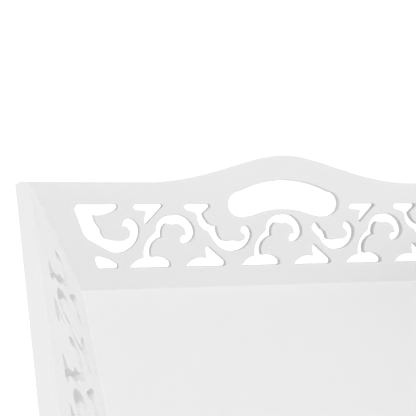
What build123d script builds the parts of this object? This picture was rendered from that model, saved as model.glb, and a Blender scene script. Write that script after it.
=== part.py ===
from build123d import *
import math
import os

# Side table whose top is a lift-off tray with flared walls pierced by a running scroll.
# Units are millimetres and Z points up. The origin is on the ground under the table's middle.
# X runs along the two short ends, which have the hand holes, and Y along the two long sides.

# Height of the tray's floor, which is the table's surface
surface_height = 530.0

# Tray floor, measured along the creases where the walls rise from it
tray_short = 326.0
tray_long = 456.0
tray_floor_thickness = 9.0

# Tray walls, with lengths up the slope measured from the crease
wall_flare = 28.0
wall_slope = 82.0
end_wall_thickness = 7.0
side_wall_thickness = 10.5
rim_corner_cut = 4.0

# Handle arch and hand hole in each short end
arch_rise = 22.0
arch_spread = 230.0
hand_hole_width = 94.8
hand_hole_height = 29.0
hand_hole_bottom = 55.0
hand_hole_crest = 5.8
hand_hole_margin = 8.0

# Running scroll, with one repeat drawn on a grid that is stretched to its length and height
end_scroll_repeat = 90.0
side_scroll_repeat = 100.0
scroll_bottom = 16.0
scroll_height = 49.0
scroll_tail = 56.0
grid_across = 90
grid_up = 49

# Stand
stand_inset = 16.0
leg_top_width = 34.0
leg_foot_width = 22.0
leg_taper_start = 12.0
apron_thickness = 16.0
apron_height = 58.0
apron_reveal = 3.0
tenon_thickness = 7.0
tenon_length = 14.0
tenon_shoulder = 6.0
joint_clearance = 0.1

# Corner blocks and the bolts that draw the legs in
leg_corner_cut = 8.0
block_gap = 3.0
block_thickness = 17.0
block_height = 26.0
block_drop = 20.0
bolt_diameter = 6.0
bolt_length = 60.0
bolt_depth_in_leg = 24.0
bolt_clearance = 0.5
nut_height = 5.0
nut_across_flats = 10.0

# Battens under the tray that drop inside the stand
batten_width = 10.0
batten_depth = 14.0
batten_clearance = 1.5
batten_end_gap = 4.0

# Square felt pads stuck under the feet
pad_width = 17.0
pad_height = 3.0

slope_out = math.sin(math.radians(wall_flare))
slope_up = math.cos(math.radians(wall_flare))
tray_underside = surface_height - tray_floor_thickness
floor_bevel = tray_floor_thickness * slope_out / slope_up
stand_short = tray_short + 2 * (side_wall_thickness / slope_up - floor_bevel - stand_inset)
stand_long = tray_long + 2 * (end_wall_thickness / slope_up - floor_bevel - stand_inset)
apron_bottom = tray_underside - apron_height
apron_inner = apron_reveal + apron_thickness
block_middle = tray_underside - block_drop - block_height / 2


# One repeat of the scroll. x runs from the pattern's start and y from the foot of the band.
# A step of two numbers is a straight run, and a step of four is an arc through a point to its end.

corner_hook = [
    (-5.3, 46.0), (-3.6, 49.0), (26.6, 49.0), (27.9, 47.0), (25.6, 44.4), (18.0, 41.3, 9.0, 41.0),
    (10.3, 35.8, 14.2, 30.6), (15.0, 26.2), (18.2, 22.6), (25.0, 21.3), (32.5, 21.2),
    (36.6, 23.4), (37.6, 28.0), (34.3, 32.2), (31.0, 31.8), (31.8, 36.2), (35.0, 38.3),
    (42.0, 34.8, 44.3, 27.5), (41.0, 18.6, 33.5, 13.0), (27.5, 11.9, 21.0, 13.8), (5.0, 22.8),
    (1.6, 27.2),
]
corner_foot = [
    (10.3, 8.0), (11.8, 9.7), (14.0, 9.5), (21.5, 7.0), (27.8, 3.2), (28.0, 0.8), (26.6, 0.0),
    (13.8, 0.0), (11.5, 3.6),
]
top_arrow = [
    (39.5, 47.0), (41.0, 49.0), (61.8, 49.0), (62.8, 47.6), (50.0, 33.8), (48.3, 34.4),
    (48.4, 39.5), (49.8, 43.6), (48.6, 44.1), (41.0, 44.6),
]
rising_scroll = [
    (37.3, 0.8), (41.4, 5.2, 47.8, 7.8), (48.8, 17.6, 55.2, 25.8), (57.2, 28.6),
    (60.4, 37.0, 68.5, 40.1), (84.4, 35.6, 88.3, 27.5), (86.4, 21.4, 79.8, 18.2), (77.0, 19.6),
    (76.4, 22.6), (78.2, 25.0), (81.5, 25.3), (79.8, 30.6), (75.8, 33.5), (71.3, 32.9),
    (68.4, 34.0), (65.0, 34.0), (62.4, 31.0), (61.5, 27.0), (62.0, 23.8), (57.6, 21.6),
    (54.8, 18.6), (53.0, 13.0, 53.8, 8.1), (62.5, 7.9, 68.8, 4.0), (69.4, 1.4), (67.9, 0.0),
    (38.2, 0.0),
]
falling_scroll = [
    (79.5, 47.0), (81.0, 49.0), (99.8, 49.0), (101.1, 47.0), (95.0, 41.4), (96.2, 38.0),
    (99.6, 33.6), (102.8, 31.8), (106.3, 31.0), (107.2, 25.4, 110.4, 20.6), (114.2, 19.4),
    (118.5, 20.3), (125.0, 19.2), (129.2, 20.9), (129.8, 24.0), (125.8, 27.4), (126.4, 30.6),
    (130.5, 32.0), (134.2, 28.6, 135.2, 23.5), (130.6, 15.6, 122.5, 11.9),
    (112.5, 13.2, 103.8, 20.2), (99.3, 27.7), (93.0, 31.9, 90.2, 39.8), (88.6, 42.6),
    (81.0, 44.8),
]
short_falling_scroll = [
    (98.6, 26.3), (96.3, 29.8), (98.2, 33.6), (101.8, 33.2), (104.8, 28.8), (108.0, 26.8),
    (110.5, 20.3), (114.4, 19.4), (118.5, 20.3), (125.0, 20.4), (128.4, 23.4), (127.4, 26.8),
    (123.8, 30.0), (124.4, 33.2), (127.2, 34.9), (132.6, 31.2, 134.4, 25.0),
    (130.4, 16.2, 121.5, 11.9), (111.0, 13.6, 103.6, 21.5),
]
foot_arrow = [
    (81.7, 1.2), (88.0, 6.1, 97.8, 6.6), (96.8, 14.0), (98.0, 16.2), (100.4, 15.3),
    (113.4, 3.8), (113.6, 1.0), (112.0, 0.0), (83.0, 0.0),
]


def cut_out(steps, shift, stretch):
    """Face inside one figure of the scroll, moved along the wall by shift."""
    lift = scroll_height / grid_up

    def place(x, y):
        return (shift + stretch * x, scroll_bottom + lift * y)

    start = place(*steps[0])
    here = start
    edges = []
    for step in steps[1:]:
        end = place(*step[-2:])
        if len(step) == 2:
            edges.append(Line(here, end))
        else:
            edges.append(ThreePointArc(here, place(*step[:2]), end))
        here = end
    edges.append(Line(here, start))
    return make_face(edges)


def scroll_band(length, repeat_length, hole_width):
    """All figures of the scroll on a wall, clear of a hand hole of hole_width if it has one."""
    repeats = round((length - scroll_tail) / repeat_length)
    left = -(repeats * repeat_length + scroll_tail) / 2
    stretch = repeat_length / grid_across
    keep_out = hole_width / 2 + hand_hole_margin if hole_width else 0.0

    def is_clear(steps, shift):
        xs = [shift + stretch * step[-2] for step in steps]
        return min(xs) > keep_out or max(xs) < -keep_out or not keep_out

    figures = [cut_out(corner_hook, left, stretch), cut_out(corner_foot, left, stretch)]
    for repeat in range(repeats):
        shift = left + repeat * repeat_length
        figures.append(cut_out(rising_scroll, shift, stretch))
        figures.append(cut_out(foot_arrow, shift, stretch))
        if is_clear(top_arrow, shift):
            figures.append(cut_out(top_arrow, shift, stretch))
        clear = is_clear(falling_scroll[:5], shift)
        falling = falling_scroll if clear else short_falling_scroll
        figures.append(cut_out(falling, shift, stretch))
    return figures


def hand_hole():
    """Kidney-shaped hand hole with a crest in its lower edge."""
    end = hand_hole_width / 2
    shoulder = 0.81 * end
    waist = 0.42 * end
    low = hand_hole_bottom
    top = low + hand_hole_height
    crest = low + hand_hole_crest
    shoulder_top = low + 0.69 * hand_hole_height
    widest = low + 0.31 * hand_hole_height
    waist_top = low + 0.41 * hand_hole_crest
    edges = [
        ThreePointArc((-shoulder, shoulder_top), (0, top), (shoulder, shoulder_top)),
        ThreePointArc((shoulder, shoulder_top), (end, widest), (shoulder, low)),
        ThreePointArc((shoulder, low), (0.62 * end, low), (waist, waist_top)),
        ThreePointArc((waist, waist_top), (0, crest), (-waist, waist_top)),
        ThreePointArc((-waist, waist_top), (-0.62 * end, low), (-shoulder, low)),
        ThreePointArc((-shoulder, low), (-end, widest), (-shoulder, shoulder_top)),
    ]
    return make_face(edges)


def wall_outline(length, rise):
    """Outline of a wall's inner face, past both mitres, with an arch of the given rise."""
    foot = -tray_floor_thickness / slope_up
    spare = end_wall_thickness + side_wall_thickness
    foot_end = length / 2 + spare
    if rise:
        top = wall_slope
        tip = foot_end + top * slope_out
        half = arch_spread / 2
        rim = [
            Line((-tip, top), (-half, top)),
            Spline((-half, top), (0, top + rise), (half, top), tangents=[(1, 0), (1, 0)]),
            Line((half, top), (tip, top)),
        ]
    else:
        top = wall_slope + spare
        tip = foot_end + top * slope_out
        rim = [Line((-tip, top), (tip, top))]
    right = Line((tip, top), (foot_end, foot))
    bottom = Line((foot_end, foot), (-foot_end, foot))
    left = Line((-foot_end, foot), (-tip, top))
    return make_face([*rim, right, bottom, left])


def trim_ends(panel, length, distance, own, other):
    """Panel of thickness own mitred to neighbours of thickness other, its rim corners cut."""
    corner_x = length / 2 + wall_slope * slope_out + other * slope_up - rim_corner_cut
    corner_y = distance + wall_slope * slope_out + own * slope_up
    for side in (1, -1):
        mitre = Plane(
            origin=(side * length / 2, distance, surface_height),
            z_dir=(side * own, -other, (other - own) * slope_out / slope_up),
        )
        nip = Plane(origin=(side * corner_x, corner_y, 0), z_dir=(side, 1, 0))
        panel = split(split(panel, mitre, keep=Keep.BOTTOM), nip, keep=Keep.BOTTOM)
    return panel


def wall(length, distance, holes, own, other, rise=0.0):
    """Flared wall on the +Y side, with its foot level and both ends mitred."""
    face = wall_outline(length, rise) - holes
    slope = Plane(
        origin=(0, distance, surface_height), x_dir=(1, 0, 0), z_dir=(0, -slope_up, slope_out)
    )
    panel = slope * extrude(face, -own)
    underside = Plane(origin=(0, 0, tray_underside))
    panel = split(panel, underside, keep=Keep.TOP)
    return trim_ends(panel, length, distance, own, other)


def tray_end():
    """Short wall with the arch, the hand hole and the scroll, its rim cut square."""
    holes = [hand_hole(), *scroll_band(tray_short, end_scroll_repeat, hand_hole_width)]
    own, other = end_wall_thickness, side_wall_thickness
    return wall(tray_short, tray_long / 2, holes, own, other, arch_rise)


def tray_side():
    """Long wall with the scroll, its straight rim cut to meet the ends' rims in the mitres."""
    holes = scroll_band(tray_long, side_scroll_repeat, 0.0)
    own, other = side_wall_thickness, end_wall_thickness
    panel = wall(tray_long, tray_short / 2, holes, own, other)
    fall = slope_out / slope_up
    run = (own + (own - other) * fall * fall) / other
    rim_y = tray_short / 2 + wall_slope * slope_out
    rim_z = surface_height + wall_slope * slope_up
    rim = Plane(origin=(0, rim_y, rim_z), z_dir=(0, fall, run))
    return split(panel, rim, keep=Keep.BOTTOM)


def tray_floor():
    """Floor panel with its edges bevelled to the walls."""
    top = Plane(origin=(0, 0, surface_height)) * Rectangle(tray_short, tray_long)
    underside = Plane(origin=(0, 0, tray_underside)) * Rectangle(
        tray_short - 2 * floor_bevel, tray_long - 2 * floor_bevel
    )
    return loft([underside, top], ruled=True)


def batten(across, along):
    """Batten along the -Y side, glued under the tray floor and just inside that side's apron."""
    length = along - 2 * (leg_top_width + batten_end_gap)
    outer = -across / 2 + apron_inner + batten_clearance
    middle = (0, outer + batten_width / 2, tray_underside - batten_depth / 2)
    return Pos(middle) * Box(length, batten_width, batten_depth)


def corner_places():
    """Places of the four corners, from front left round to back left, with +X +Y inwards."""
    half_x, half_y = stand_short / 2, stand_long / 2
    corners = [(-half_x, -half_y), (half_x, -half_y), (half_x, half_y), (-half_x, half_y)]
    return [Pos(x, y, 0) * Rot(0, 0, 90 * turn) for turn, (x, y) in enumerate(corners)]


def tenon(clearance=0.0):
    """Tenon along +X from the apron's shoulder at x = 0, or its mortise with a clearance."""
    length = tenon_length + clearance
    height = apron_height - 2 * tenon_shoulder + 2 * clearance
    middle = tray_underside - apron_height / 2
    return Pos(length / 2, 0, middle) * Box(length, tenon_thickness + 2 * clearance, height)


def bolt_axis():
    """Diagonal line of a corner's bolt, starting at its end inside the leg."""
    leg_face = (2 * leg_top_width - leg_corner_cut) / math.sqrt(2)
    start = (leg_face - bolt_depth_in_leg) / math.sqrt(2)
    return Plane(origin=(start, start, block_middle), x_dir=(-1, 1, 0), z_dir=(1, 1, 0))


def block_front():
    """Distance along the bolt from its end in the leg to the corner block."""
    return bolt_depth_in_leg + block_gap


def leg():
    """Square leg that tapers on its two inner faces, with mortises and the bolt's hole."""
    taper_top = apron_bottom - leg_taper_start
    side_view = make_face(Polyline(
        (0, pad_height), (leg_foot_width, pad_height), (leg_top_width, taper_top),
        (leg_top_width, tray_underside), (0, tray_underside), close=True,
    ))
    one_way = extrude(Plane.XZ * side_view, -leg_top_width)
    swap = Plane(origin=(0, 0, 0), z_dir=(1, -1, 0))
    shape = one_way & one_way.mirror(swap)
    slot = Pos(leg_top_width, apron_reveal + apron_thickness / 2, 0) * Rot(0, 0, 180)
    mortise = slot * tenon(joint_clearance)
    shape -= [mortise, mortise.mirror(swap)]
    cut = [(leg_top_width, leg_top_width), (leg_top_width - leg_corner_cut, leg_top_width),
           (leg_top_width, leg_top_width - leg_corner_cut)]
    corner = Plane(origin=(0, 0, apron_bottom)) * make_face(Polyline(*cut, close=True))
    shape -= extrude(corner, apron_height)
    bore = extrude(Circle(bolt_diameter / 2 + joint_clearance), bolt_depth_in_leg)
    return shape - bolt_axis() * bore


def apron(across, along):
    """Apron on the -Y side of a stand that is across deep, with a tenon at each end."""
    span = along - 2 * leg_top_width
    middle_y = -across / 2 + apron_reveal + apron_thickness / 2
    rail = Pos(0, middle_y, tray_underside - apron_height / 2) * Box(
        span, apron_thickness, apron_height
    )
    right = Pos(span / 2, middle_y, 0) * tenon()
    return rail + right + right.mirror(Plane.YZ)


def corner_block():
    """Block across a corner behind the leg, glued to both aprons and bored for the bolt."""
    front = math.sqrt(2) * ((2 * leg_top_width - leg_corner_cut) / math.sqrt(2) + block_gap)
    back = front + math.sqrt(2) * block_thickness
    plan = [(front - apron_inner, apron_inner), (back - apron_inner, apron_inner),
            (apron_inner, back - apron_inner), (apron_inner, front - apron_inner)]
    base = Plane(origin=(0, 0, block_middle - block_height / 2))
    block = extrude(base * make_face(Polyline(*plan, close=True)), block_height)
    bore = extrude(Circle(bolt_diameter / 2 + bolt_clearance), bolt_length)
    return block - bolt_axis() * bore


def hanger_bolt():
    """Stud screwed into the leg, standing out through the corner block."""
    return bolt_axis() * extrude(Circle(bolt_diameter / 2), bolt_length)


def hex_nut():
    """Nut that draws the leg in against the back of the corner block."""
    corner_radius = nut_across_flats / math.sqrt(3)
    plan = RegularPolygon(corner_radius, 6) - Circle(bolt_diameter / 2 + joint_clearance)
    seat = block_front() + block_thickness
    return bolt_axis() * (Pos(0, 0, seat) * extrude(plan, nut_height))


def foot_pad():
    """Felt pad under the middle of the foot."""
    foot = leg_foot_width / 2
    return Pos(foot, foot, 0) * extrude(Rectangle(pad_width, pad_width), pad_height)


def around(end_piece, side_piece):
    """The same kind of piece on all four sides, with the side each one stands on."""
    return {
        "front": end_piece,
        "right": Rot(0, 0, 90) * side_piece,
        "back": Rot(0, 0, 180) * end_piece,
        "left": Rot(0, 0, 270) * side_piece,
    }


def tray_pieces():
    """The tray: its floor, four walls and the four battens under it."""
    end, side = tray_end(), tray_side()
    pieces = {
        "tray_floor": tray_floor(),
        "tray_end_back": end,
        "tray_side_left": Rot(0, 0, 90) * side,
        "tray_end_front": Rot(0, 0, 180) * end,
        "tray_side_right": Rot(0, 0, 270) * side,
    }
    battens = around(batten(stand_long, stand_short), batten(stand_short, stand_long))
    for name, piece in battens.items():
        pieces["batten_" + name] = piece
    return pieces


def stand_pieces():
    """The stand: aprons, legs, corner blocks with their bolts and nuts, and felt pads."""
    pieces = {}
    aprons = around(apron(stand_long, stand_short), apron(stand_short, stand_long))
    for name, piece in aprons.items():
        pieces["apron_" + name] = piece
    corners = ("front_left", "front_right", "back_right", "back_left")
    places = corner_places()
    for name, place in zip(corners, places):
        pieces["leg_" + name] = place * leg()
        pieces["corner_block_" + name] = place * corner_block()
    pieces["hanger_bolts"] = Compound([place * hanger_bolt() for place in places])
    pieces["hex_nuts"] = Compound([place * hex_nut() for place in places])
    pieces["foot_pads"] = Compound([place * foot_pad() for place in places])
    return pieces


os.makedirs("parts", exist_ok=True)
for node, piece in {**tray_pieces(), **stand_pieces()}.items():
    export_step(piece, "parts/" + node + ".step")
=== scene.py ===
import math

import bmesh
import bpy
from mathutils import Matrix, Vector


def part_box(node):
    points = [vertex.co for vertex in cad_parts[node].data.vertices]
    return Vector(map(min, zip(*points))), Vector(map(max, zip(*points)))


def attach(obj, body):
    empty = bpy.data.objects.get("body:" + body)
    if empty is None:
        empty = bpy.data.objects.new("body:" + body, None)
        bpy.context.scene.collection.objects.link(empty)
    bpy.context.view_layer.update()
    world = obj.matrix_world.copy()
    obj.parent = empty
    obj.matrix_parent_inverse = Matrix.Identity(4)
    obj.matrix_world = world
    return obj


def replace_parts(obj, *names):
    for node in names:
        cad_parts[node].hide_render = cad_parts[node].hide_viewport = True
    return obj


# Side table with a lift-off tray, dressed for its picture. Lengths are in metres.
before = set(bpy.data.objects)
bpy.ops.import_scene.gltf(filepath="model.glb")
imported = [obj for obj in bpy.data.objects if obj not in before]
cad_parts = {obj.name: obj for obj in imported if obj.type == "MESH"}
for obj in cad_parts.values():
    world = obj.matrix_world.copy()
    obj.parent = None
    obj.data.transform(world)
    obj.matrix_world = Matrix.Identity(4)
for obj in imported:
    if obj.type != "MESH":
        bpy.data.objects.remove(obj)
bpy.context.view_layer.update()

MM = 0.001

# Camera, as the photograph was taken
CAMERA_PLACE = (-0.24394, -0.30088, 0.89361)
CAMERA_HEADING = 17.86
CAMERA_DIP = 27.79
CAMERA_ROLL = 8.29
CAMERA_LENS = 73.21
SENSOR_WIDTH = 36.0
NEAREST_SEEN = 0.02
FARTHEST_SEEN = 50.0

# Paint, as colours with their opacity
LACQUER_WHITE = (0.856, 0.856, 0.856, 1.0)
LACQUER_CLOUD = (0.842, 0.842, 0.844, 1.0)
LACQUER_GLOSS = 0.34
# Darker grey for the sawn edges of the scroll and hand holes: painted shade of the hole sides
CUT_EDGE_SHADE_GREY = (0.765, 0.765, 0.77, 1.0)
CUT_EDGE_SHADE_CLOUD = (0.735, 0.735, 0.74, 1.0)
CUT_GLOSS = 0.5
GLOSS_SPREAD = 0.1
RUBBED_PAINT = (0.78, 0.775, 0.76, 1.0)
RUBBED_WOOD = (0.68, 0.53, 0.35, 1.0)
RUBBED_ZINC = (0.72, 0.72, 0.73, 1.0)

# Floor and surrounding light
FLOOR_HALF = 8.0
FLOOR_GREY = (0.8, 0.8, 0.8, 1.0)
FLOOR_GLOW = 0.56
AROUND_LIGHT = 0.57
PURE_WHITE = (1.0, 1.0, 1.0, 1.0)

# Softened edges of the painted and bare pieces
MERGE_DISTANCE = 0.01 * MM
FLATTEST_SEAM = math.radians(0.5)
EDGE_STEPS = 2
WALL_EDGE = 0.5 * MM
BOARD_EDGE = 0.9 * MM
BLOCK_EDGE = 0.6 * MM
PAD_EDGE = 0.7 * MM
SHARPEST_FLAT = math.radians(20.0)
LARGEST_FACET = 60.0 * MM * MM

# Facing of the cuts where the tray's walls meet: the lesser and the greater of X and Y, then Z
MITRE_NORMAL = (0.549, 0.823, 0.146)
MITRE_TOLERANCE = 0.02

# Heights above the tray's floor that bound the scroll and the hand holes
SCROLL_TOP = 66.0 * MM
HAND_HOLE_TOP = 78.0 * MM
HAND_HOLE_REACH = 50.0 * MM
SAWN_TILT = 0.3

# Hardware in the corners of the stand
BOLT_DIAMETER = 6.0 * MM
THREAD_PITCH = 1.0 * MM
THREAD_DEPTH = 0.55 * MM
THREAD_STEPS = 16
THREAD_FLANKS = (0.12, 0.45, 0.57, 0.9)
SPARE_TURNS = 2
END_TOLERANCE = 0.001 * MM
NUT_FLATS = 10.0 * MM
NUT_HEIGHT = 4.0 * MM
NUT_FACE_SHARE = 0.95
NUT_CHAMFER = math.radians(30.0)
NUT_PLAY = 0.05 * MM
BORE_CHAMFER = 0.35 * MM
WASHER_DIAMETER = 12.0 * MM
WASHER_HOLE = 6.4 * MM
WASHER_HEIGHT = 1.0 * MM
WASHER_EDGE = 0.12 * MM
RING_STEPS = 48
SMALLEST_FLAT = 1.5 * MM * MM
LEG_TOP = 34.0 * MM
LEG_CORNER_CUT = 8.0 * MM
BOLT_DEPTH_IN_LEG = 24.0 * MM
BOLT_LENGTH = 60.0 * MM
BLOCK_GAP = 3.0 * MM
BLOCK_THICKNESS = 17.0 * MM

# Screws through the battens into the tray floor
SCREW_DIAMETER = 7.4 * MM
SCREW_SOCKET = 3.4 * MM
SCREW_PROUD = 0.6 * MM
SCREW_FROM_END = 38.0 * MM
SCREW_OUTLINE = ((0.5, -2.4), (1.0, 0.0), (0.97, 0.3), (0.8, 0.75), (0.6, 1.0))
SOCKET_DEPTH = 1.6

SIDES = ("front", "right", "back", "left")
CORNERS = ("front_left", "front_right", "back_right", "back_left")


def new_piece(name, mesh_builder, body, material):
    """Object made from a bmesh, riding on a body and finished with a material."""
    mesh = bpy.data.meshes.new(name)
    mesh_builder.to_mesh(mesh)
    mesh_builder.free()
    piece = bpy.data.objects.new(name, mesh)
    bpy.context.scene.collection.objects.link(piece)
    mesh.materials.append(material)
    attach(piece, body)
    return piece


# Materials

def add_node(tree, kind, **settings):
    """Node of a kind with its plain settings, and its input values under 'inputs'."""
    node = tree.nodes.new(kind)
    inputs = settings.pop("inputs", {})
    for key, value in settings.items():
        setattr(node, key, value)
    for key, value in inputs.items():
        node.inputs[key].default_value = value
    return node


def new_group(name, inputs, outputs):
    """Shader node group with its named sockets, and its input and output nodes."""
    group = bpy.data.node_groups.new(name, "ShaderNodeTree")
    for socket, kind, value in inputs:
        made = group.interface.new_socket(socket, in_out="INPUT", socket_type=kind)
        made.default_value = value
    for socket, kind in outputs:
        group.interface.new_socket(socket, in_out="OUTPUT", socket_type=kind)
    return group, group.nodes.new("NodeGroupInput"), group.nodes.new("NodeGroupOutput")


def new_material(name, settings):
    """Material with one Principled shader, its constants set on the shader's own sockets."""
    material = bpy.data.materials.new(name)
    material.use_nodes = True
    tree = material.node_tree
    shader = tree.nodes["Principled BSDF"]
    for key, value in settings.items():
        shader.inputs[key].default_value = value
    return material, tree, shader


def place_group(tree, group, values):
    """Group placed in a material with its own values."""
    return add_node(tree, "ShaderNodeGroup", node_tree=group, inputs=values)


FLOAT = "NodeSocketFloat"
COLOUR = "NodeSocketColor"
VECTOR = "NodeSocketVector"


def mottle_group():
    """Soft cloudy change of colour and gloss, such as sprayed paint has."""
    group, given, out = new_group("mottle", [
        ("Colour", COLOUR, (0.8, 0.8, 0.8, 1.0)),
        ("Cloud Colour", COLOUR, (0.78, 0.78, 0.79, 1.0)),
        ("Cloud Scale", FLOAT, 9.0),
        ("Gloss Low", FLOAT, 0.3),
        ("Gloss High", FLOAT, 0.4),
    ], [("Colour", COLOUR), ("Roughness", FLOAT)])
    link = group.links.new
    place = add_node(group, "ShaderNodeTexCoord")
    clouds = add_node(group, "ShaderNodeTexNoise", inputs={"Detail": 3.0, "Roughness": 0.55})
    blotches = add_node(group, "ShaderNodeTexNoise", inputs={"Scale": 140.0, "Detail": 2.0})
    mix = add_node(group, "ShaderNodeMix", data_type="RGBA")
    gloss = add_node(group, "ShaderNodeMapRange", inputs={"From Min": 0.3, "From Max": 0.7})
    link(place.outputs["Object"], clouds.inputs["Vector"])
    link(place.outputs["Object"], blotches.inputs["Vector"])
    link(given.outputs["Cloud Scale"], clouds.inputs["Scale"])
    link(clouds.outputs["Fac"], mix.inputs["Factor"])
    link(given.outputs["Colour"], mix.inputs["A"])
    link(given.outputs["Cloud Colour"], mix.inputs["B"])
    link(blotches.outputs["Fac"], gloss.inputs["Value"])
    link(given.outputs["Gloss Low"], gloss.inputs["To Min"])
    link(given.outputs["Gloss High"], gloss.inputs["To Max"])
    link(mix.outputs["Result"], out.inputs["Colour"])
    link(gloss.outputs["Result"], out.inputs["Roughness"])
    return group


def edge_group():
    """Mask of the outer edges, where paint is thin and hands and cloths rub."""
    group, given, out = new_group("edge_rub", [
        ("Edge Width", FLOAT, 0.001),
        ("Strength", FLOAT, 0.5),
    ], [("Mask", FLOAT)])
    link = group.links.new
    rounded = add_node(group, "ShaderNodeBevel", samples=4)
    surface = add_node(group, "ShaderNodeNewGeometry")
    dot = add_node(group, "ShaderNodeVectorMath", operation="DOT_PRODUCT")
    spread = add_node(group, "ShaderNodeMapRange", inputs={"From Min": 0.995, "From Max": 0.75})
    place = add_node(group, "ShaderNodeTexCoord")
    patches = add_node(group, "ShaderNodeTexNoise", inputs={"Scale": 60.0, "Detail": 4.0})
    broken = add_node(group, "ShaderNodeMath", operation="MULTIPLY")
    scaled = add_node(group, "ShaderNodeMath", operation="MULTIPLY")
    link(given.outputs["Edge Width"], rounded.inputs["Radius"])
    link(rounded.outputs["Normal"], dot.inputs[0])
    link(surface.outputs["Normal"], dot.inputs[1])
    link(dot.outputs["Value"], spread.inputs["Value"])
    link(place.outputs["Object"], patches.inputs["Vector"])
    link(spread.outputs["Result"], broken.inputs[0])
    link(patches.outputs["Fac"], broken.inputs[1])
    link(broken.outputs["Value"], scaled.inputs[0])
    link(given.outputs["Strength"], scaled.inputs[1])
    link(scaled.outputs["Value"], out.inputs["Mask"])
    return group


def peel_group():
    """Normal of a sprayed film: a fine ripple with a few specks of dust under it."""
    group, given, out = new_group("orange_peel", [
        ("Ripple Scale", FLOAT, 420.0),
        ("Ripple Depth", FLOAT, 0.00002),
        ("Speck Scale", FLOAT, 90.0),
        ("Speck Depth", FLOAT, 0.00002),
    ], [("Normal", VECTOR)])
    link = group.links.new
    place = add_node(group, "ShaderNodeTexCoord")
    ripple = add_node(group, "ShaderNodeTexNoise", inputs={"Detail": 2.0, "Roughness": 0.4})
    specks = add_node(group, "ShaderNodeTexVoronoi", feature="F1")
    dots = add_node(group, "ShaderNodeMapRange", inputs={"From Min": 0.05, "From Max": 0.0})
    ripple_bump = add_node(group, "ShaderNodeBump", inputs={"Strength": 1.0})
    speck_bump = add_node(group, "ShaderNodeBump", inputs={"Strength": 1.0})
    link(place.outputs["Object"], ripple.inputs["Vector"])
    link(place.outputs["Object"], specks.inputs["Vector"])
    link(given.outputs["Ripple Scale"], ripple.inputs["Scale"])
    link(given.outputs["Speck Scale"], specks.inputs["Scale"])
    link(ripple.outputs["Fac"], ripple_bump.inputs["Height"])
    link(given.outputs["Ripple Depth"], ripple_bump.inputs["Distance"])
    link(specks.outputs["Distance"], dots.inputs["Value"])
    link(dots.outputs["Result"], speck_bump.inputs["Height"])
    link(given.outputs["Speck Depth"], speck_bump.inputs["Distance"])
    link(ripple_bump.outputs["Normal"], speck_bump.inputs["Normal"])
    link(speck_bump.outputs["Normal"], out.inputs["Normal"])
    return group


def grain_group():
    """Long grain of bare wood: early and late wood, pores and a few darker streaks."""
    group, given, out = new_group("wood_grain", [
        ("Early Wood", COLOUR, (0.6, 0.45, 0.28, 1.0)),
        ("Late Wood", COLOUR, (0.45, 0.3, 0.17, 1.0)),
        ("Ring Scale", FLOAT, 160.0),
        ("Turn", VECTOR, (0.0, 0.0, 0.0)),
        ("Relief", FLOAT, 0.00005),
    ], [("Colour", COLOUR), ("Roughness", FLOAT), ("Normal", VECTOR)])
    link = group.links.new
    place = add_node(group, "ShaderNodeTexCoord")
    turned = add_node(group, "ShaderNodeMapping")
    along = add_node(group, "ShaderNodeMapping", inputs={"Scale": (0.06, 1.0, 1.0)})
    rings = add_node(group, "ShaderNodeTexWave", bands_direction="Z", inputs={
        "Distortion": 5.0, "Detail": 3.0, "Detail Scale": 1.6})
    pores = add_node(group, "ShaderNodeTexNoise", inputs={"Scale": 900.0, "Detail": 2.0})
    both = add_node(group, "ShaderNodeMath", operation="MULTIPLY")
    colours = add_node(group, "ShaderNodeMix", data_type="RGBA")
    dull = add_node(group, "ShaderNodeMapRange", inputs={"To Min": 0.55, "To Max": 0.75})
    bump = add_node(group, "ShaderNodeBump", inputs={"Strength": 1.0})
    link(place.outputs["Object"], turned.inputs["Vector"])
    link(given.outputs["Turn"], turned.inputs["Rotation"])
    link(turned.outputs["Vector"], along.inputs["Vector"])
    link(along.outputs["Vector"], rings.inputs["Vector"])
    link(along.outputs["Vector"], pores.inputs["Vector"])
    link(given.outputs["Ring Scale"], rings.inputs["Scale"])
    link(rings.outputs["Fac"], both.inputs[0])
    link(pores.outputs["Fac"], both.inputs[1])
    link(both.outputs["Value"], colours.inputs["Factor"])
    link(given.outputs["Early Wood"], colours.inputs["A"])
    link(given.outputs["Late Wood"], colours.inputs["B"])
    link(both.outputs["Value"], dull.inputs["Value"])
    link(pores.outputs["Fac"], bump.inputs["Height"])
    link(given.outputs["Relief"], bump.inputs["Distance"])
    link(colours.outputs["Result"], out.inputs["Colour"])
    link(dull.outputs["Result"], out.inputs["Roughness"])
    link(bump.outputs["Normal"], out.inputs["Normal"])
    return group


MOTTLE = mottle_group()
EDGE_RUB = edge_group()
ORANGE_PEEL = peel_group()
WOOD_GRAIN = grain_group()


def white_lacquer(name, colour, cloud_colour, gloss):
    """Satin white paint sprayed on board."""
    material, tree, shader = new_material(name, {"Specular IOR Level": 0.4})
    link = tree.links.new
    body = place_group(tree, MOTTLE, {
        "Colour": colour,
        "Cloud Colour": cloud_colour,
        "Cloud Scale": 7.0,
        "Gloss Low": gloss,
        "Gloss High": gloss + GLOSS_SPREAD,
    })
    rub = place_group(tree, EDGE_RUB, {"Edge Width": 0.0012, "Strength": 0.6})
    film = place_group(tree, ORANGE_PEEL, {
        "Ripple Scale": 420.0, "Ripple Depth": 0.00002,
        "Speck Scale": 85.0, "Speck Depth": 0.00003,
    })
    worn = add_node(tree, "ShaderNodeMix", data_type="RGBA",
                    inputs={"B": RUBBED_PAINT})
    link(rub.outputs["Mask"], worn.inputs["Factor"])
    link(body.outputs["Colour"], worn.inputs["A"])
    link(worn.outputs["Result"], shader.inputs["Base Color"])
    link(body.outputs["Roughness"], shader.inputs["Roughness"])
    link(film.outputs["Normal"], shader.inputs["Normal"])
    return material


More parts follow.
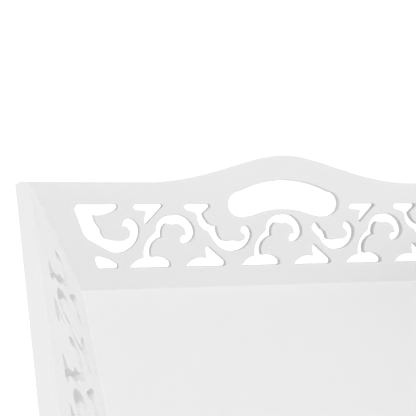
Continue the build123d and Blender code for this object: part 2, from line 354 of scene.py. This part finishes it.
def bare_wood():
    """Unpainted hardwood of the corner blocks."""
    material, tree, shader = new_material("bare_wood_finish", {"Specular IOR Level": 0.3})
    link = tree.links.new
    grain = place_group(tree, WOOD_GRAIN, {
        "Early Wood": (0.58, 0.41, 0.24, 1.0),
        "Late Wood": (0.38, 0.24, 0.12, 1.0),
        "Ring Scale": 90.0,
        "Turn": (0.0, 0.0, math.radians(45.0)),
        "Relief": 0.00006,
    })
    rub = place_group(tree, EDGE_RUB, {"Edge Width": 0.0015, "Strength": 0.7})
    paler = add_node(tree, "ShaderNodeMix", data_type="RGBA",
                     inputs={"B": RUBBED_WOOD})
    link(rub.outputs["Mask"], paler.inputs["Factor"])
    link(grain.outputs["Colour"], paler.inputs["A"])
    link(paler.outputs["Result"], shader.inputs["Base Color"])
    link(grain.outputs["Roughness"], shader.inputs["Roughness"])
    link(grain.outputs["Normal"], shader.inputs["Normal"])
    return material


def zinc_steel():
    """Zinc-plated steel of the bolts, nuts, washers and screws."""
    material, tree, shader = new_material("zinc_steel_finish", {"Metallic": 1.0})
    link = tree.links.new
    plate = place_group(tree, MOTTLE, {
        "Colour": (0.56, 0.57, 0.58, 1.0),
        "Cloud Colour": (0.44, 0.46, 0.49, 1.0),
        "Cloud Scale": 260.0,
        "Gloss Low": 0.26,
        "Gloss High": 0.46,
    })
    rub = place_group(tree, EDGE_RUB, {"Edge Width": 0.0004, "Strength": 0.8})
    bright = add_node(tree, "ShaderNodeMix", data_type="RGBA",
                      inputs={"B": RUBBED_ZINC})
    film = place_group(tree, ORANGE_PEEL, {
        "Ripple Scale": 1500.0, "Ripple Depth": 0.00001,
        "Speck Scale": 700.0, "Speck Depth": 0.00001,
    })
    link(rub.outputs["Mask"], bright.inputs["Factor"])
    link(plate.outputs["Colour"], bright.inputs["A"])
    link(bright.outputs["Result"], shader.inputs["Base Color"])
    link(plate.outputs["Roughness"], shader.inputs["Roughness"])
    link(film.outputs["Normal"], shader.inputs["Normal"])
    return material


def felt():
    """Grey felt of the pads under the feet."""
    material, tree, shader = new_material("felt_finish", {
        "Roughness": 0.95, "Sheen Weight": 0.35, "Sheen Roughness": 0.6,
        "Specular IOR Level": 0.15,
    })
    link = tree.links.new
    place = add_node(tree, "ShaderNodeTexCoord")
    fibres = add_node(tree, "ShaderNodeTexNoise", inputs={
        "Scale": 1400.0, "Detail": 5.0, "Distortion": 2.5})
    colour = add_node(tree, "ShaderNodeMix", data_type="RGBA", inputs={
        "A": (0.16, 0.155, 0.15, 1.0), "B": (0.36, 0.35, 0.34, 1.0)})
    bump = add_node(tree, "ShaderNodeBump", inputs={"Strength": 1.0, "Distance": 0.0003})
    link(place.outputs["Object"], fibres.inputs["Vector"])
    link(fibres.outputs["Fac"], colour.inputs["Factor"])
    link(colour.outputs["Result"], shader.inputs["Base Color"])
    link(fibres.outputs["Fac"], bump.inputs["Height"])
    link(bump.outputs["Normal"], shader.inputs["Normal"])
    return material


LACQUER = white_lacquer("white_lacquer_finish", LACQUER_WHITE, LACQUER_CLOUD, LACQUER_GLOSS)
# Darker copy of the lacquer for the sawn edges: painted shade inside the holes
CUT_LACQUER_PAINTED_SHADE = white_lacquer("lacquer_with_painted_shade_on_cut_edges", CUT_EDGE_SHADE_GREY, CUT_EDGE_SHADE_CLOUD, CUT_GLOSS)
WOOD = bare_wood()
ZINC = zinc_steel()
FELT = felt()
FINISHES = {"white_lacquer": LACQUER, "bare_wood": WOOD, "zinc_steel": ZINC, "felt": FELT}


# Pieces

def is_mitre(face):
    """Whether a face of a tray wall is the cut against its neighbour."""
    across, along = sorted((abs(face.normal.x), abs(face.normal.y)))
    facing = Vector((across, along, abs(face.normal.z)))
    return (facing - Vector(MITRE_NORMAL)).length < MITRE_TOLERANCE


def is_in_scroll(face, facing, surface):
    """Whether a face is the sawn edge of the scroll or of a hand hole in a wall facing that way."""
    middle = face.calc_center_median()
    height = middle.z - surface
    in_hand_hole = abs(middle.x) < HAND_HOLE_REACH and height < HAND_HOLE_TOP
    is_sawn = abs(face.normal.dot(facing)) < SAWN_TILT and not is_mitre(face)
    return is_sawn and (height < SCROLL_TOP or in_hand_hole)


def paint_shade_on_sawn_edges(bm):
    """Gives the sawn edges in a wall the second material, a darker grey that is painted shade of
    the hole sides.
    """
    facing = max(bm.faces, key=lambda face: face.calc_area()).normal.copy()
    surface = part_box("tray_floor")[1].z
    for face in bm.faces:
        if is_in_scroll(face, facing, surface):
            # These faces take the darker grey: painted shade of the hole sides
            face.material_index = 1


def soften(node, name, body, slot, width, keep_mitres=False):
    """Puts a copy with softened edges in place of a node. Mitres can stay sharp."""
    bm = bmesh.new()
    bm.from_mesh(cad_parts[node].data)
    bmesh.ops.remove_doubles(bm, verts=bm.verts, dist=MERGE_DISTANCE)
    bmesh.ops.dissolve_limit(bm, angle_limit=FLATTEST_SEAM, verts=bm.verts, edges=bm.edges)
    edges = []
    for edge in bm.edges:
        if len(edge.link_faces) != 2 or edge.calc_face_angle() < SHARPEST_FLAT:
            continue
        if keep_mitres and any(is_mitre(face) for face in edge.link_faces):
            continue
        edges.append(edge)
    bmesh.ops.bevel(bm, geom=edges, offset=width, offset_type="OFFSET", segments=EDGE_STEPS,
                    profile=0.5, affect="EDGES", material=-1, clamp_overlap=False)
    for face in bm.faces:
        face.smooth = face.calc_area() < LARGEST_FACET
    has_sawn_edges = node.startswith("tray_end")
    if has_sawn_edges:
        paint_shade_on_sawn_edges(bm)
    piece = new_piece(name, bm, body, FINISHES[slot])
    # The second material is the darker lacquer copy, painted shade on the sawn edges
    if has_sawn_edges:
        piece.data.materials.append(CUT_LACQUER_PAINTED_SHADE)
    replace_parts(piece, node)


def soften_tray():
    """Walls and battens of the tray. The walls' mitres stay sharp, so that they close."""
    for side in ("end_front", "end_back", "side_left", "side_right"):
        soften("tray_" + side, side + "_wall", "tray", "white_lacquer", WALL_EDGE, True)
    for side in SIDES:
        soften("batten_" + side, side + "_batten", "tray", "white_lacquer", BOARD_EDGE)


def soften_stand():
    """Aprons, legs, corner blocks and felt feet of the stand."""
    for side in SIDES:
        soften("apron_" + side, side + "_apron", "stand", "white_lacquer", BOARD_EDGE)
    for corner in CORNERS:
        soften("leg_" + corner, corner + "_leg", "stand", "white_lacquer", BOARD_EDGE)
        soften("corner_block_" + corner, corner + "_block", "stand", "bare_wood", BLOCK_EDGE)
    soften("foot_pads", "felt_feet", "stand", "felt", PAD_EDGE)


def hexagon(flats, turn):
    """Distance from the middle of a hexagon to its outline at a turn from the middle of a flat."""
    sixth = math.tau / 6
    return flats / 2 / math.cos((turn + sixth / 2) % sixth - sixth / 2)


def skin(rings, is_open_through):
    """Solid skinned over rings round the Z axis, joined end to end or closed by flat ends."""
    bm = bmesh.new()
    rows = []
    for ring in rings:
        turns = [math.tau * step / RING_STEPS for step in range(RING_STEPS)]
        points = [(turn, *ring(turn)) for turn in turns]
        rows.append([bm.verts.new((radius * math.cos(turn), radius * math.sin(turn), height))
                     for turn, radius, height in points])
    following = rows[1:] + rows[:1] if is_open_through else rows[1:]
    for lower, upper in zip(rows, following):
        for step in range(RING_STEPS):
            after = (step + 1) % RING_STEPS
            bm.faces.new((lower[step], lower[after], upper[after], upper[step]))
    if not is_open_through:
        bm.faces.new(rows[0])
        bm.faces.new(rows[-1])
    bmesh.ops.recalc_face_normals(bm, faces=bm.faces)
    return bm


def circle(radius, height):
    """Ring of one radius at one height."""
    return lambda turn: (radius, height)


def chamfered_nut():
    """Hexagon nut standing on Z = 0, with its corners turned off at both ends."""
    bore = BOLT_DIAMETER / 2 + NUT_PLAY
    flat = NUT_FACE_SHARE * NUT_FLATS / 2

    def corner(top):
        def ring(turn):
            radius = hexagon(NUT_FLATS, turn)
            fall = (radius - flat) * math.tan(NUT_CHAMFER)
            return (radius, NUT_HEIGHT - fall if top else fall)
        return ring

    return skin([
        circle(bore + BORE_CHAMFER, 0.0), circle(flat, 0.0), corner(False), corner(True),
        circle(flat, NUT_HEIGHT), circle(bore + BORE_CHAMFER, NUT_HEIGHT),
        circle(bore, NUT_HEIGHT - BORE_CHAMFER), circle(bore, BORE_CHAMFER),
    ], True)


def washer():
    """Plain washer standing on Z = 0, with its edges rounded by the punch."""
    hole, rim, edge = WASHER_HOLE / 2, WASHER_DIAMETER / 2, WASHER_EDGE
    return skin([
        circle(hole, edge), circle(hole + edge, 0.0), circle(rim - edge, 0.0), circle(rim, edge),
        circle(rim, WASHER_HEIGHT - edge), circle(rim - edge, WASHER_HEIGHT),
        circle(hole + edge, WASHER_HEIGHT), circle(hole, WASHER_HEIGHT - edge),
    ], True)


def screw_head():
    """Raised countersunk head with a hexagon socket, standing out of Z = 0.

    Its outline is in shares of the head's radius and of how far it stands out.
    """
    rim = SCREW_DIAMETER / 2

    def socket(height):
        return lambda turn: (hexagon(SCREW_SOCKET, turn), height)

    outline = [circle(share * rim, rise * SCREW_PROUD) for share, rise in SCREW_OUTLINE]
    return skin(outline + [socket(SCREW_PROUD), socket(-SOCKET_DEPTH * SCREW_PROUD)], False)


def threaded_stud():
    """Stud along +Z from Z = 0 with a right-hand thread, its ends cut square.

    The flanks are in shares of the pitch. The spare turns are what the square cuts take off.
    """
    crest = BOLT_DIAMETER / 2
    root = crest - THREAD_DEPTH
    rise, top, fall, foot = THREAD_FLANKS
    outline = [(root, 0.0), (root, rise), (crest, top), (crest, fall), (root, foot), (root, 1.0)]
    turns = round(BOLT_LENGTH / THREAD_PITCH) + SPARE_TURNS
    bm = bmesh.new()
    verts = [bm.verts.new((radius, 0.0, (share - 1.0) * THREAD_PITCH)) for radius, share in outline]
    edges = [bm.edges.new(pair) for pair in zip(verts, verts[1:])]
    bmesh.ops.spin(bm, geom=verts + edges, cent=(0, 0, 0), axis=(0, 0, 1), angle=math.tau * turns,
                   dvec=(0, 0, THREAD_PITCH / THREAD_STEPS), steps=turns * THREAD_STEPS)
    bmesh.ops.remove_doubles(bm, verts=bm.verts, dist=MERGE_DISTANCE)
    for height, outward in ((0.0, -1.0), (BOLT_LENGTH, 1.0)):
        everything = bm.verts[:] + bm.edges[:] + bm.faces[:]
        bmesh.ops.bisect_plane(bm, geom=everything, plane_co=(0, 0, height),
                               plane_no=(0, 0, outward), clear_outer=True)
        rim = [edge for edge in bm.edges if edge.is_boundary]
        ends = [edge for edge in rim
                if all(abs(vert.co.z - height) < END_TOLERANCE for vert in edge.verts)]
        bmesh.ops.holes_fill(bm, edges=ends)
    bmesh.ops.recalc_face_normals(bm, faces=bm.faces)
    return bm


def bolt_spots(seat):
    """Places on the four bolts, each the seat away from the bolt's end in its leg."""
    leg_face = (2 * LEG_TOP - LEG_CORNER_CUT) / math.sqrt(2)
    along = leg_face - BOLT_DEPTH_IN_LEG + seat
    block_low, block_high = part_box("corner_block_front_left")
    height = (block_low.z + block_high.z) / 2
    spots = []
    for corner in CORNERS:
        low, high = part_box("leg_" + corner)
        inward_x = 1.0 if corner.endswith("left") else -1.0
        inward_y = 1.0 if corner.startswith("front") else -1.0
        inward = Vector((inward_x, inward_y, 0.0)).normalized()
        edge_x = low.x if inward_x > 0 else high.x
        edge_y = low.y if inward_y > 0 else high.y
        start = Vector((edge_x, edge_y, height))
        aim = inward.to_track_quat("Z", "Y").to_matrix().to_4x4()
        spots.append(Matrix.Translation(start + inward * along) @ aim)
    return spots


def repeated(made, spots):
    """The same small piece set at each of the spots, all in one mesh."""
    pattern = bpy.data.meshes.new("pattern")
    made.to_mesh(pattern)
    made.free()
    together = bmesh.new()
    for spot in spots:
        placed = pattern.copy()
        placed.transform(spot)
        together.from_mesh(placed)
        bpy.data.meshes.remove(placed)
    bpy.data.meshes.remove(pattern)
    for face in together.faces:
        face.smooth = face.calc_area() < SMALLEST_FLAT
    return together


def corner_hardware():
    """Studs, washers and nuts that draw the legs against the corner blocks."""
    seat = BOLT_DEPTH_IN_LEG + BLOCK_GAP + BLOCK_THICKNESS
    studs = repeated(threaded_stud(), bolt_spots(0.0))
    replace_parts(new_piece("threaded_studs", studs, "stand", ZINC), "hanger_bolts")
    washers = repeated(washer(), bolt_spots(seat))
    new_piece("washers", washers, "stand", ZINC)
    nuts = repeated(chamfered_nut(), bolt_spots(seat + WASHER_HEIGHT))
    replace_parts(new_piece("chamfered_nuts", nuts, "stand", ZINC), "hex_nuts")


def batten_screws():
    """Screws through the battens into the tray floor, two in each."""
    head_down = Matrix.Rotation(math.pi, 4, "X")
    spots = []
    for side in SIDES:
        low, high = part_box("batten_" + side)
        middle = (low + high) / 2
        reach = Vector((high.x - low.x, high.y - low.y, 0.0))
        along = Vector((1.0, 0.0, 0.0)) if reach.x > reach.y else Vector((0.0, 1.0, 0.0))
        half = max(reach.x, reach.y) / 2 - SCREW_FROM_END
        for way in (-1.0, 1.0):
            place = middle + along * half * way
            spots.append(Matrix.Translation((place.x, place.y, low.z)) @ head_down)
    heads = repeated(screw_head(), spots)
    new_piece("batten_screws", heads, "tray", ZINC)


soften_tray()
soften_stand()
corner_hardware()
batten_screws()

# The tray's floor keeps its own shape and only takes the paint
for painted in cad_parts["tray_floor"].material_slots:
    painted.material = LACQUER


# Studio

def seen_directly(tree):
    """Value that is one for what is seen, in a mirror or through glass too, and else zero."""
    path = add_node(tree, "ShaderNodeLightPath")
    seen = add_node(tree, "ShaderNodeMath", operation="MAXIMUM")
    seen_all = add_node(tree, "ShaderNodeMath", operation="MAXIMUM")
    link = tree.links.new
    link(path.outputs["Is Camera Ray"], seen.inputs[0])
    link(path.outputs["Is Glossy Ray"], seen.inputs[1])
    link(seen.outputs["Value"], seen_all.inputs[0])
    link(path.outputs["Is Transmission Ray"], seen_all.inputs[1])
    return seen_all.outputs["Value"]


def white_to_camera(tree, shader, glow):
    """Adds a plain white glow to a shader where it is seen directly."""
    emission = add_node(tree, "ShaderNodeEmission", inputs={"Strength": glow})
    both = add_node(tree, "ShaderNodeAddShader")
    mix = add_node(tree, "ShaderNodeMixShader")
    link = tree.links.new
    link(shader.outputs[0], both.inputs[0])
    link(emission.outputs["Emission"], both.inputs[1])
    link(seen_directly(tree), mix.inputs["Fac"])
    link(shader.outputs[0], mix.inputs[1])
    link(both.outputs["Shader"], mix.inputs[2])
    return mix


def studio_floor():
    """Plain pale floor that stays white where no shadow falls."""
    bm = bmesh.new()
    bmesh.ops.create_grid(bm, x_segments=1, y_segments=1, size=FLOOR_HALF)
    mesh = bpy.data.meshes.new("studio_floor")
    bm.to_mesh(mesh)
    bm.free()
    floor = bpy.data.objects.new("studio_floor", mesh)
    bpy.context.scene.collection.objects.link(floor)
    material = bpy.data.materials.new("studio_white")
    material.use_nodes = True
    tree = material.node_tree
    tree.nodes.clear()
    cloth = add_node(tree, "ShaderNodeBsdfDiffuse", inputs={"Color": FLOOR_GREY})
    glow = white_to_camera(tree, cloth, FLOOR_GLOW)
    out = add_node(tree, "ShaderNodeOutputMaterial")
    tree.links.new(glow.outputs["Shader"], out.inputs["Surface"])
    mesh.materials.append(material)


def studio_world(strength):
    """Soft light from all round, white to the camera."""
    world = bpy.data.worlds.new("studio")
    bpy.context.scene.world = world
    world.use_nodes = True
    tree = world.node_tree
    tree.nodes.clear()
    link = tree.links.new
    soft = add_node(tree, "ShaderNodeBackground",
                    inputs={"Color": PURE_WHITE, "Strength": strength})
    white = add_node(tree, "ShaderNodeBackground",
                     inputs={"Color": PURE_WHITE, "Strength": 1.0})
    mix = add_node(tree, "ShaderNodeMixShader")
    out = add_node(tree, "ShaderNodeOutputWorld")
    link(seen_directly(tree), mix.inputs["Fac"])
    link(soft.outputs["Background"], mix.inputs[1])
    link(white.outputs["Background"], mix.inputs[2])
    link(mix.outputs["Shader"], out.inputs["Surface"])


def soft_box(name, place, target, size, watts, tint):
    """Square soft lamp aimed at a point."""
    lamp = bpy.data.lights.new(name, "AREA")
    lamp.shape = "SQUARE"
    lamp.size = size
    lamp.energy = watts
    lamp.color = tint
    holder = bpy.data.objects.new(name, lamp)
    bpy.context.scene.collection.objects.link(holder)
    holder.location = place
    aim = Vector(target) - Vector(place)
    holder.rotation_euler = aim.to_track_quat("-Z", "Y").to_euler()


def photo_camera():
    """Camera with the photograph's place, heading, dip and roll."""
    data = bpy.data.cameras.new("photo_camera")
    data.lens = CAMERA_LENS
    data.sensor_width = SENSOR_WIDTH
    data.clip_start = NEAREST_SEEN
    data.clip_end = FARTHEST_SEEN
    camera = bpy.data.objects.new("photo_camera", data)
    bpy.context.scene.collection.objects.link(camera)
    camera.location = CAMERA_PLACE
    turn = (Matrix.Rotation(math.radians(-CAMERA_HEADING), 3, "Z")
            @ Matrix.Rotation(math.radians(90.0 - CAMERA_DIP), 3, "X")
            @ Matrix.Rotation(math.radians(CAMERA_ROLL), 3, "Z"))
    camera.rotation_euler = turn.to_euler()
    bpy.context.scene.camera = camera


studio_floor()
studio_world(AROUND_LIGHT)
soft_box("overhead", place=(0.0, 0.0, 2.5), target=(0.0, 0.0, 0.5),
         size=1.8, watts=14.8, tint=(1.0, 0.992, 0.98))
soft_box("right", place=(1.8, -0.3, 1.15), target=(0.0, 0.0, 0.55),
         size=1.0, watts=8.8, tint=(1.0, 0.995, 0.99))
soft_box("left", place=(-1.8, -0.05, 0.76), target=(-0.2, 0.0, 0.6),
         size=0.6, watts=5.6, tint=(1.0, 0.995, 0.99))
soft_box("front", place=(-1.1, -1.5, 1.5), target=(0.0, 0.1, 0.55),
         size=1.0, watts=3.7, tint=(0.88, 0.84, 1.0))
photo_camera()
bpy.context.scene.view_settings.view_transform = "Standard"
